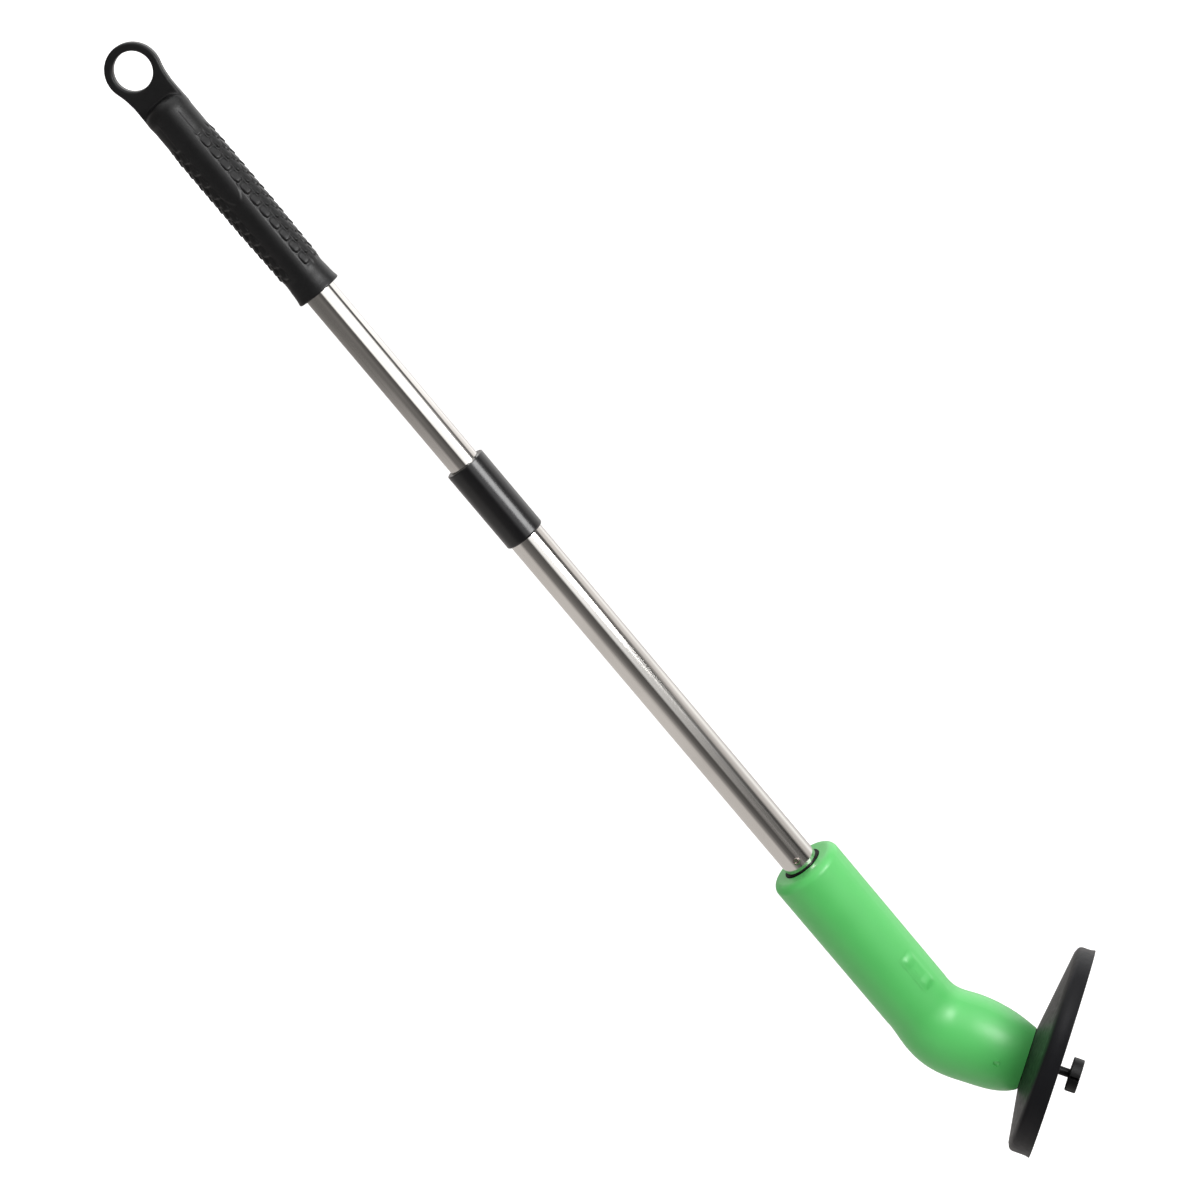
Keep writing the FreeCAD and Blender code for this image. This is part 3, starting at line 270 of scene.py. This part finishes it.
# waist and flared lip below the straight length: radius and depth in millimetres
GRIP_LIP = ((13.55, 114), (13.3, 126), (13.05, 138), (12.9, 147), (12.95, 150), (13.1, 153), (13.35, 155.5),
            (13.75, 157.8), (13.85, 158.6), (13.7, 159))
RING_RAD = 16.0 * MM
RING_START = math.radians(-18.0)  # where the ring's arc ends and the neck begins
RING_POINTS = 72
HOLE_RAD = mount("hang_hole")["dims"]["r_mm"] * MM
RING_HALF = 3.75 * MM
RING_EDGE = 1.3 * MM
NECK_HALF = 13.5 * MM
NECK_CURVE_END = 28.0 * MM
NECK_END = 34.0 * MM
NECK_PULL = 9.0  # millimetres from the ring to the neck curve's next control point
NECK_ARRIVAL = 8.0 * MM
NECK_POINTS = 14
NECK_BLEND = (15 * MM, 38 * MM)  # depths between which the neck flows into the handle
NECK_PASSES = 14
GRIP_VOXEL = 0.5 * MM
SCALE_PITCH = 8.4 * MM
SCALE_ROWS = 13
SCALE_FIRST = 37.5  # degrees from the front's middle to the first row
SCALE_TOP = 50.0 * MM
SCALE_END = 145.0 * MM
SCALE_HEIGHT = 1.2 * MM
SCALE_GROOVE = 0.4 * MM
SCALE_HALF = (2.35 * MM, 3.55 * MM)
SCALE_SQUARENESS = 3.5
SCALE_EDGE = (0.6, 1.2)
SCALE_RAMP = (-3.6 * MM, 2.6 * MM)
RAMP_START = 0.35  # height of a scale's upper end, as a share of its lower end's
TOP_FADE = (6 * MM, 4 * MM)
END_FADE = 5 * MM
ROW_FADE = (0.2, 0.6)  # shares of the gap between rows
TONGUE_END = 92.0 * MM
TONGUE_HALF = 7.6 * MM
TONGUE_TAPER = 20 * MM
TONGUE_EDGE = 0.6 * MM
TONGUE_RISE = 0.3 * MM
SKIN = (11.6 * MM, 12.4 * MM)  # radii between which a point starts to count as outside
HANDLE_START = (30 * MM, 34 * MM)
SINK = 0.35 * MM  # how far the textured length lies below the lip's run-out
SINK_FADE = 6 * MM


def grip_handle():
    """The round handle with a domed shoulder, a waist, a flared lip and the bore for the tube."""
    flat = GRIP_RAD - GRIP_SHOULDER
    outline = [(0.0, -GRIP_TOP)]
    for a in np.linspace(0, math.pi / 2, 9):
        outline.append((flat + GRIP_SHOULDER * math.sin(a), -GRIP_TOP - GRIP_SHOULDER * (1 - math.cos(a))))
    outline += [(GRIP_RAD, -depth * MM) for depth in STRAIGHT_DEPTHS]
    outline += [(radius * MM, -depth * MM) for radius, depth in GRIP_LIP]
    outline += [(GRIP_BORE, -GRIP_END), (GRIP_BORE, -BORE_TOP), (0.0, -BORE_TOP)]
    return lathe_mesh("grip_handle", outline, 96)


def ring_plate():
    """The flat hang ring and its neck: a filled plane curve with rounded edges, stood in the XZ plane."""
    curve = bpy.data.curves.new("ring_plate", "CURVE")
    curve.dimensions = "2D"
    curve.fill_mode = "BOTH"
    curve.extrude = RING_HALF - RING_EDGE
    curve.bevel_depth = RING_EDGE
    curve.bevel_resolution = 3
    curve.offset = -RING_EDGE
    outline = []
    for a in np.linspace(RING_START, math.pi - RING_START, RING_POINTS):
        outline.append((RING_RAD * math.cos(a), RING_RAD * math.sin(a)))
    leave = Vector((-RING_RAD * math.cos(RING_START), RING_RAD * math.sin(RING_START)))
    pull = Vector((-math.sin(RING_START), -math.cos(RING_START))) * NECK_PULL * MM
    arrive = Vector((-NECK_HALF, -NECK_CURVE_END))
    arrival = Vector((0, NECK_ARRIVAL))
    for share in np.linspace(0, 1, NECK_POINTS)[1:]:
        rest = 1 - share
        point = (leave * rest ** 3 + (leave + pull) * 3 * rest ** 2 * share
                 + (arrive + arrival) * 3 * rest * share ** 2 + arrive * share ** 3)
        outline.append((point.x, point.y))
    outline.append((-NECK_HALF, -NECK_END))
    outline += [(-x, y) for x, y in reversed(outline[RING_POINTS:])]
    hole = [(HOLE_RAD * math.cos(a), HOLE_RAD * math.sin(a))
            for a in np.linspace(0, 2 * math.pi, RING_POINTS, endpoint=False)]
    for points in (outline, hole):
        spline = curve.splines.new("POLY")
        spline.points.add(len(points) - 1)
        for place, (x, y) in zip(spline.points, points):
            place.co = (x, y, 0, 1)
        spline.use_cyclic_u = True
    thing = bpy.data.objects.new("ring_plate", curve)
    scene.collection.objects.link(thing)
    data = applied(thing)
    bpy.data.objects.remove(thing)
    data.transform(Matrix.Rotation(math.pi / 2, 4, "X"))
    return data


def scale_relief(angle, z):
    """Height of the fish-scale rows on the grip's sides and back, in metres, from the front's angle and Z."""
    gap = (360 - 2 * SCALE_FIRST) / (SCALE_ROWS - 1)
    turned = np.degrees(angle) % 360 - SCALE_FIRST
    row = np.clip(np.round(turned / gap), 0, SCALE_ROWS - 1)
    across = np.radians(turned - row * gap) * GRIP_RAD
    down = -z - SCALE_TOP + (row % 2) * SCALE_PITCH / 2
    along = down / SCALE_PITCH
    within = (along - np.floor(along) - 0.5) * SCALE_PITCH
    reach = np.abs(across / SCALE_HALF[0]) ** SCALE_SQUARENESS
    reach = reach + np.abs(within / SCALE_HALF[1]) ** SCALE_SQUARENESS
    tile = 1 - smooth_step(reach, *SCALE_EDGE)
    ramp = RAMP_START + (1 - RAMP_START) * smooth_step(within, *SCALE_RAMP)
    ends = smooth_step(-z, SCALE_TOP - TOP_FADE[0], SCALE_TOP + TOP_FADE[1])
    ends = ends * (1 - smooth_step(-z, SCALE_END - END_FADE, SCALE_END))
    last = 360 - 2 * SCALE_FIRST
    near, far = (gap * share for share in ROW_FADE)
    rows = smooth_step(turned, -far, -near) * (1 - smooth_step(turned, last + near, last + far))
    return (SCALE_HEIGHT * tile * ramp - SCALE_GROOVE) * ends * rows


def tongue_relief(angle, z):
    """Height of the smooth raised tongue down the grip's front, in metres."""
    tip = np.clip((-z - (TONGUE_END - TONGUE_TAPER)) / TONGUE_TAPER, 0, 1)
    half = TONGUE_HALF * np.sqrt(np.clip(1 - tip ** 2, 0, 1))
    tongue = 1 - smooth_step(np.abs(angle) * GRIP_RAD, half - TONGUE_EDGE, half + TONGUE_EDGE)
    return TONGUE_RISE * tongue * (1 - smooth_step(-z, TONGUE_END - 1 * MM, TONGUE_END))


def welded(parts):
    """Closed meshes joined into one skin."""
    joined = bmesh.new()
    for part in parts:
        joined.from_mesh(part)
    bmesh.ops.remove_doubles(joined, verts=joined.verts, dist=0.01 * MM)
    rough = bpy.data.meshes.new("grip_rough")
    joined.to_mesh(rough)
    joined.free()
    blank = bpy.data.objects.new("grip_blank", rough)
    scene.collection.objects.link(blank)
    remesh = blank.modifiers.new("weld", "REMESH")
    remesh.mode = "VOXEL"
    remesh.voxel_size = GRIP_VOXEL
    data = applied(blank)
    bpy.data.objects.remove(blank)
    return data


def relax(mesh, verts, factor):
    bmesh.ops.smooth_vert(mesh, verts=verts, factor=factor, use_axis_x=True, use_axis_y=True, use_axis_z=True)


def grip_piece():
    """The handle and the ring as one moulding, with the relief pushed into its skin."""
    data = welded((grip_handle(), ring_plate()))
    mesh = bmesh.new()
    mesh.from_mesh(data)
    neck = [v for v in mesh.verts if -NECK_BLEND[1] < v.co.z < -NECK_BLEND[0]]
    for _ in range(NECK_PASSES):
        relax(mesh, neck, 0.5)
    relax(mesh, mesh.verts, 0.4)
    mesh.to_mesh(data)
    mesh.free()

    place = np.empty(len(data.vertices) * 3)
    data.vertices.foreach_get("co", place)
    place = place.reshape(-1, 3)
    x, y, z = place.T
    radius = np.hypot(x, y)
    angle = np.arctan2(x, -y)
    outside = smooth_step(radius, *SKIN) * smooth_step(-z, *HANDLE_START)
    lift = scale_relief(angle, z) + tongue_relief(angle, z)
    lift = lift * outside - SINK * outside * (1 - smooth_step(-z, SCALE_END, SCALE_END + SINK_FADE))
    place[:, 0] += x / np.maximum(radius, 1e-6) * lift
    place[:, 1] += y / np.maximum(radius, 1e-6) * lift
    data.vertices.foreach_set("co", place.ravel())
    data.transform(grip_turn)
    data.update()
    data.shade_smooth()
    data.name = "grip_moulding"
    return new_piece("grip_moulding", data, "upper_pole", "grip_plastic", "grip")


# ---------------------------------------------------------------- guard

def motor_frame():
    """Turns (towards the operator, sideways, along the motor) into the model's frame."""
    inwards = Vector((-motor_axis.z, 0, motor_axis.x))
    sideways = motor_axis.cross(inwards)
    crossing_z = motor_point.z - motor_point.x * motor_axis.z / motor_axis.x
    spin = Matrix((inwards, sideways, motor_axis)).transposed().to_4x4()
    return Matrix.Translation((0, 0, crossing_z)) @ spin


# the guard, in millimetres along the motor axis and out from it
GUARD_SEAT = 55.1
GUARD_FRONT = 74.1
GUARD_RAD = 66.45
GUARD_SHIFT = 13.5  # from the motor axis to the disc's own centre
GUARD_SLOPE = 9.1 / 64.0
GUARD_THICK = 2.0
SEAT_RAD = 20.0
SEAT_RADII = (6.2, 13, 19.2, SEAT_RAD, 21)
BACK_SHARES = (0.2, 0.45, 0.7, 0.9, 1.0)
BACK_INSET = 4.4
# the rim's section from the back round to the inside: inset, share of the wall's height, millimetres added
RIM = ((3.4, 0, -0.15), (2.3, 0, 0.25), (1.4, 0, 0.95), (0.85, 0, 1.9), (0.6, 0, 3.1), (0.6, 0.45, 0),
       (0.62, 0.65, 0), (0.5, 1, -2.2), (0.15, 1, -0.9), (0.0, 1, -0.35), (0.15, 1, -0.05), (0.5, 1, 0),
       (1.9, 1, -0.1), (2.3, 1, -0.6), (2.5, 0.6, 0), (2.6, 0, 4.6), (3.2, 0, 3.0), (4.6, 0, 2.1))
FRONT_SHARES = (1.0, 0.7, 0.4, 0.15)
FRONT_INSET = 7.0
FRONT_RADII = (SEAT_RAD, 13, 6.2)
GUARD_TURNS = 240


def guard_section(inward):
    """The closed section in one direction: a cone, the rim's wall, and the cone's inside."""
    side = GUARD_SHIFT * inward.x
    reach = side + math.sqrt(GUARD_RAD ** 2 - GUARD_SHIFT ** 2 + side ** 2)  # from the motor axis to the rim
    centre = Vector((GUARD_SHIFT, 0))
    rim = (inward * reach - centre).normalized()
    back = GUARD_SEAT + (reach - SEAT_RAD) * GUARD_SLOPE
    wall = GUARD_FRONT - back

    def on_cone(radius, depth=0.0):
        return inward * radius, GUARD_SEAT + depth + max(0.0, radius - SEAT_RAD) * GUARD_SLOPE

    section = [on_cone(radius) for radius in SEAT_RADII]
    section += [on_cone(SEAT_RAD + (reach - BACK_INSET - SEAT_RAD) * share) for share in BACK_SHARES]
    for inset, share, more in RIM:
        section.append((centre + rim * (GUARD_RAD - inset), back + wall * share + more))
    for share in FRONT_SHARES:
        section.append(on_cone(SEAT_RAD + (reach - FRONT_INSET - SEAT_RAD) * share, GUARD_THICK))
    section += [on_cone(radius, GUARD_THICK) for radius in FRONT_RADII]
    return section


def guard_piece():
    """Shallow dish: a cone about the motor axis, and a rim wall about the disc's own centre."""
    mesh = bmesh.new()
    loops = []
    for a in np.linspace(0, 2 * math.pi, GUARD_TURNS, endpoint=False):
        section = guard_section(Vector((math.cos(a), math.sin(a))))
        loops.append([mesh.verts.new((p.x * MM, p.y * MM, t * MM)) for p, t in section])
    for first, second in zip(loops, loops[1:] + loops[:1]):
        for k in range(len(first)):
            n = (k + 1) % len(first)
            mesh.faces.new((first[k], first[n], second[n], second[k]))
    bmesh.ops.recalc_face_normals(mesh, faces=mesh.faces)
    data = bpy.data.meshes.new("guard_dish")
    mesh.to_mesh(data)
    mesh.free()
    data.transform(motor_frame())
    piece = new_piece("guard_dish", data, "lower_pole", "guard_plastic", "guard")
    shaded(piece, 50.0)
    return piece


# ---------------------------------------------------------------- slide switch

# the pad, in millimetres and in degrees round the pole
SLIDER_TURN = -22.0
PAD_BASE = 23.27
PAD_THICK = 0.5
PAD_THIN = 0.06
PAD_HALF = 15.1
PAD_SIDE = 0.4  # share of the half width where the sides start to thin out
PAD_ENDS = (691.0, 719.5)
PAD_FEATHER = 5.0
PAD_GRID = (41, 91)
LOBES = (696.5, 714.0)
LOBE_RISE = 0.42
LOBE_REACH = (0.2, 4.8)
LOBE_SIDE = (0.3, 0.9)
STEM_LOW = (20.3, -2.5, -708.0)
STEM_HIGH = (23.8, 2.5, -702.0)
STEM_EDGE = 0.3 * MM


def pad_height(turn, depth):
    """Thickness of the pad in millimetres: it thins out at its edges and has two soft cross ribs."""
    across = np.abs(turn)
    ends = smooth_step(depth, PAD_ENDS[0], PAD_ENDS[0] + PAD_FEATHER)
    ends = ends * (1 - smooth_step(depth, PAD_ENDS[1] - PAD_FEATHER, PAD_ENDS[1]))
    sides = 1 - smooth_step(across, PAD_HALF * PAD_SIDE, PAD_HALF)
    height = PAD_THIN + (PAD_THICK - PAD_THIN) * ends * sides
    lobe_sides = 1 - smooth_step(across, PAD_HALF * LOBE_SIDE[0], PAD_HALF * LOBE_SIDE[1])
    for middle in LOBES:
        lobe = 1 - smooth_step(np.abs(depth - middle), *LOBE_REACH)
        height = height + LOBE_RISE * lobe * lobe_sides
    return height


def slider_piece():
    """The switch's pad as a closed height field round the housing, with its stem."""
    mesh = bmesh.new()
    turns = np.linspace(-PAD_HALF, PAD_HALF, PAD_GRID[0])
    depths = np.linspace(*PAD_ENDS, PAD_GRID[1])
    height = pad_height(*np.meshgrid(turns, depths, indexing="ij"))

    def sheet(radius):
        rows = []
        for radii, turn in zip(radius * MM, np.radians(turns)):
            rows.append([mesh.verts.new((r * math.cos(turn), r * math.sin(turn), -depth * MM))
                         for r, depth in zip(radii, depths)])
        for first, second in zip(rows, rows[1:]):
            for j in range(len(depths) - 1):
                mesh.faces.new((first[j], second[j], second[j + 1], first[j + 1]))
        return rows

    tops = sheet(PAD_BASE + height)
    feet = sheet(np.full_like(height, PAD_BASE))
    last_turn, last_depth = len(turns) - 1, len(depths) - 1
    rim = [(i, 0) for i in range(last_turn)] + [(last_turn, j) for j in range(last_depth)]
    rim += [(i, last_depth) for i in range(last_turn, 0, -1)] + [(0, j) for j in range(last_depth, 0, -1)]
    for (i, j), (m, n) in zip(rim, rim[1:] + rim[:1]):
        mesh.faces.new((tops[i][j], tops[m][n], feet[m][n], feet[i][j]))
    low, high = (Vector(corner) * MM for corner in (STEM_LOW, STEM_HIGH))
    middle = Matrix.Translation((low + high) / 2) @ Matrix.Diagonal((*(high - low), 1))
    stem = bmesh.ops.create_cube(mesh, size=1.0, matrix=middle)["verts"]
    edges = {edge for vertex in stem for edge in vertex.link_edges}
    bmesh.ops.bevel(mesh, geom=list(edges), offset=STEM_EDGE, segments=2, affect="EDGES")
    bmesh.ops.recalc_face_normals(mesh, faces=mesh.faces)
    data = bpy.data.meshes.new("slider_pad")
    mesh.to_mesh(data)
    mesh.free()
    data.transform(Matrix.Rotation(math.radians(SLIDER_TURN), 4, "Z"))
    piece = new_piece("slider_pad", data, "power_switch", slot_of["power_slider"], "power_slider")
    shaded(piece, 40.0)
    return piece


grip_piece()
guard_piece()
slider_piece()


# ---------------------------------------------------------------- studio

CAMERA_PLACE = Vector((0.92357, -1.25411, -0.02878))
CAMERA_SIGHT = Vector((-0.57194, 0.78623, -0.23393))
CAMERA_TILT = Vector((0.41533, 0.52348, 0.74395))  # lays the pole across from upper left to lower right
SENSOR = 36
LENS = 81.3


def camera_view():
    """The camera, level with the grip and looking a little down."""
    sight = CAMERA_SIGHT.normalized()
    side = sight.cross(CAMERA_TILT).normalized()
    up = side.cross(sight)
    data = bpy.data.cameras.new("camera")
    camera = bpy.data.objects.new("camera", data)
    scene.collection.objects.link(camera)
    turn = Matrix((side, up, -sight)).transposed().to_4x4()
    camera.matrix_world = Matrix.Translation(CAMERA_PLACE) @ turn
    data.sensor_width = SENSOR
    data.lens = LENS
    data.clip_start = 0.05
    data.clip_end = 60
    scene.camera = camera
    return camera


camera = camera_view()
facing = math.degrees(math.atan2(camera.location.y, camera.location.x))  # its direction round the pole

# Brightness of the studio's walls by direction round the pole, in degrees to the right of the camera, at
# three heights: level with the grip, and lower and lower down.
TOP_WALL = ((-180, 0.5), (-140, 0.26), (-100, 0.19), (-60, 0.14), (-28, 0.2), (-4, 0.09), (3, 0.12),
            (9, 1.45), (72, 1.45), (80, 0.04), (92, 0.04), (100, 1.4), (150, 1.4), (165, 0.8))
MID_WALL = ((-180, 0.66), (-62, 0.66), (-44, 0.18), (-20, 0.14), (3, 0.09), (14, 1.4), (52, 1.3), (66, 0.05),
            (84, 0.05), (93, 0.8), (118, 0.9), (130, 1.3), (160, 0.8))
LOW_WALL = ((-180, 0.66), (-46, 0.66), (-32, 0.24), (-20, 0.15), (2, 0.085), (12, 0.2), (42, 0.13),
            (58, 0.04), (66, 0.04), (82, 0.66), (100, 0.72), (125, 1.3), (155, 0.7))
WALL_EDGES = ((-0.19, -0.11), (-0.33, -0.2))
WALL_LEAN = 35.0
WARM = (1.0, 0.955, 0.925)
WHITE_FROM = 1.0  # a stretch of wall at least this bright is white, and a dimmer one is warm
SKY_RAD = 14
SKY_GLOW = 1.0
FLOOR_RAD = 13
FLOOR_GLOW = 0.55
FLOOR_DROP = 0.17
POLE_MIDDLE = (0, 0, -0.42)


def wall_ramp(tree, turn, wall):
    ramp = tree.nodes.new("ShaderNodeValToRGB")
    stops = sorted((((facing + angle) / 360 + 0.5) % 1.0, level) for angle, level in wall)
    elements = ramp.color_ramp.elements
    while len(elements) > 1:
        elements.remove(elements[-1])
    for number, (place, level) in enumerate(stops):
        stop = elements[0] if number == 0 else elements.new(place)
        stop.position = place
        tint = WARM if level < WHITE_FROM else (1, 1, 1)
        stop.color = (*[level * share for share in tint], 1)
    tree.links.new(turn, ramp.inputs["Fac"])
    return ramp.outputs["Color"]


def studio_world():
    """Walls that only reflections and soft light see: long bands round the pole."""
    world = bpy.data.worlds.new("studio")
    scene.world = world
    world.use_nodes = True
    tree = world.node_tree
    link = tree.links.new
    direction = tree.nodes.new("ShaderNodeTexCoord").outputs["Generated"]
    parts = tree.nodes.new("ShaderNodeSeparateXYZ")
    link(direction, parts.inputs["Vector"])
    angle = tree.nodes.new("ShaderNodeMath")
    angle.operation = "ARCTAN2"
    link(parts.outputs["Y"], angle.inputs[0])
    link(parts.outputs["X"], angle.inputs[1])
    leaning = tree.nodes.new("ShaderNodeMath")
    leaning.operation = "MULTIPLY_ADD"
    leaning.inputs[1].default_value = -math.radians(WALL_LEAN)
    link(parts.outputs["Z"], leaning.inputs[0])
    link(angle.outputs["Value"], leaning.inputs[2])
    turn = tree.nodes.new("ShaderNodeMapRange")
    turn.inputs["From Min"].default_value = -math.pi
    turn.inputs["From Max"].default_value = math.pi
    link(leaning.outputs["Value"], turn.inputs["Value"])
    colour = wall_ramp(tree, turn.outputs["Result"], TOP_WALL)
    for wall, (low, high) in zip((MID_WALL, LOW_WALL), WALL_EDGES):
        height = tree.nodes.new("ShaderNodeMapRange")
        height.interpolation_type = "SMOOTHSTEP"
        height.inputs["From Min"].default_value = low
        height.inputs["From Max"].default_value = high
        link(parts.outputs["Z"], height.inputs["Value"])
        mix = tree.nodes.new("ShaderNodeMix")
        mix.data_type = "RGBA"
        link(height.outputs["Result"], mix.inputs["Factor"])
        link(wall_ramp(tree, turn.outputs["Result"], wall), mix.inputs["A"])
        link(colour, mix.inputs["B"])
        colour = mix.outputs["Result"]
    link(colour, tree.nodes["Background"].inputs["Color"])


def softbox(name, angle, height, distance, width, tall, radiance, aim, glossy=True):
    """An area lamp at an angle to the right of the camera, facing a point."""
    around = math.radians(facing + angle)
    place = Vector((distance * math.cos(around), distance * math.sin(around), height))
    data = bpy.data.lights.new(name, "AREA")
    data.shape = "RECTANGLE"
    data.size = width
    data.size_y = tall
    data.energy = radiance * math.pi * width * tall
    lamp = bpy.data.objects.new(name, data)
    scene.collection.objects.link(lamp)
    lamp.location = place
    lamp.rotation_mode = "QUATERNION"
    lamp.rotation_quaternion = (Vector(aim) - place).to_track_quat("-Z", "Y")
    lamp.visible_camera = False
    lamp.visible_glossy = glossy


def backdrop(name, data, glow):
    """Part of the white surround that only the camera sees."""
    thing = bpy.data.objects.new(name, data)
    scene.collection.objects.link(thing)
    look = bpy.data.materials.new(name)
    look.use_nodes = True
    shader = look.node_tree.nodes["Principled BSDF"]
    shader.inputs["Base Color"].default_value = (0.8, 0.8, 0.8, 1)
    shader.inputs["Roughness"].default_value = 0.9
    shader.inputs["Specular IOR Level"].default_value = 0.0
    shader.inputs["Emission Color"].default_value = (1, 1, 1, 1)
    shader.inputs["Emission Strength"].default_value = glow
    dress(thing, look)
    thing.visible_diffuse = False
    thing.visible_glossy = False
    thing.visible_transmission = False
    thing.visible_shadow = False
    return thing


def surround():
    room = bmesh.new()
    bmesh.ops.create_uvsphere(room, u_segments=64, v_segments=32, radius=SKY_RAD)
    data = bpy.data.meshes.new("sky")
    room.to_mesh(data)
    room.free()
    backdrop("sky", data, SKY_GLOW)
    flat = bmesh.new()
    bmesh.ops.create_circle(flat, cap_ends=True, segments=96, radius=FLOOR_RAD)
    data = bpy.data.meshes.new("floor")
    flat.to_mesh(data)
    flat.free()
    data.transform(Matrix.Translation((0, 0, cad_box[0].z - FLOOR_DROP)))
    backdrop("floor", data, FLOOR_GLOW)


studio_world()
surround()
softbox("key", angle=43, height=-0.42, distance=1.25, width=0.6, tall=0.6, radiance=8.5, aim=POLE_MIDDLE)
softbox("left_fill", angle=-62, height=-0.1, distance=1.6, width=1.2, tall=1.4, radiance=2.1, aim=POLE_MIDDLE,
        glossy=False)
softbox("overhead", angle=20, height=1.1, distance=0.7, width=1.2, tall=1.2, radiance=0.5, aim=POLE_MIDDLE)
scene.view_settings.view_transform = "Standard"
